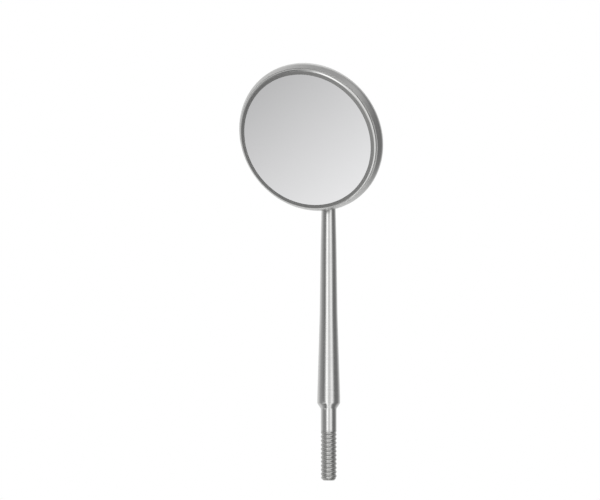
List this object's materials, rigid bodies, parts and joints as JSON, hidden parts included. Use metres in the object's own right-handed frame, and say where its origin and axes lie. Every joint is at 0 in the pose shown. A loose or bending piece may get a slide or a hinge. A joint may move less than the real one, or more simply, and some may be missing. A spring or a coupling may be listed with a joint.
{
  "type": "mouth mirror",
  "caption": "Round dental mirror head set at a slant on a tapered stem with a collar, a neck and a male thread for a handle.",
  "frame": {"origin": "centre of the flat end of the thread, at the tip of the stem", "axes": "+Z along the stem from the thread to the head; the mirror looks towards -Y and a little down; X = 0 is the plane of symmetry"},
  "size_m": [0.024, 0.0146, 0.0647],
  "materials": {
    "polished_steel": "deep-drawn stainless sheet, machine polished",
    "bezel_steel": "turned stainless ring, polished",
    "float_glass": "clear float glass with a ground edge",
    "rhodium_film": "front-surface rhodium film",
    "seal_rubber": "matt black silicone",
    "adhesive": "cured epoxy",
    "turned_steel": "turned stainless rod, polished, with fine lathe lines",
    "weld_steel": "stainless laser-weld bead, lightly polished"
  },
  "bodies": {
    "root": {"back_cup": "polished_steel", "bezel_ring": "bezel_steel", "mirror_glass": "float_glass", "reflective_coating": "rhodium_film", "sealing_ring": "seal_rubber", "adhesive_bed": "adhesive", "stem": "turned_steel", "weld_fillet": "weld_steel"}
  },
  "joints": []
}
